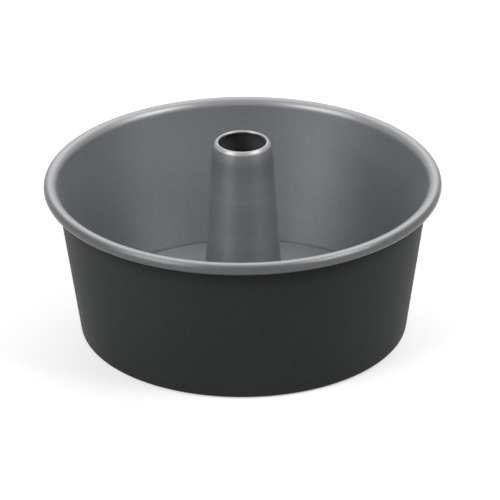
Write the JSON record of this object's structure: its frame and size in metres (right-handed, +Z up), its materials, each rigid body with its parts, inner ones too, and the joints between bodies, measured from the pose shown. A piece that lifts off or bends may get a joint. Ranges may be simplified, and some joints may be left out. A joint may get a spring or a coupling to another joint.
{
  "type": "angel food cake pan",
  "caption": "Round two-piece tube pan: tapered wall ring with rolled rim, and a lift-out floor with a centre tube taller than the rim, for baking and cooling foam cakes.",
  "frame": {"origin": "centre of the pan's base, on the surface that it stands on", "axes": "+Z up along the axis of the ring and the tube; the pan is round, so X and Y are any two level directions"},
  "size_m": [0.249, 0.249, 0.127],
  "materials": {
    "outside_coat": "satin charcoal non-stick coat on the outside of the wall ring, with the silver-grey coat of the other pieces inside and over the rim",
    "inside_coat": "satin silver-grey metallic non-stick coat on the baking side, charcoal behind"
  },
  "bodies": {
    "pan_ring": {"wall_ring": "outside_coat"},
    "tube_insert": {"floor_plate": "inside_coat", "centre_tube": "inside_coat"}
  },
  "joints": [
    {"name": "insert_lift", "type": "slide", "parent": "pan_ring", "child": "tube_insert", "axis": [0, 0, 1], "range_m": [0, 0.11]}
  ]
}
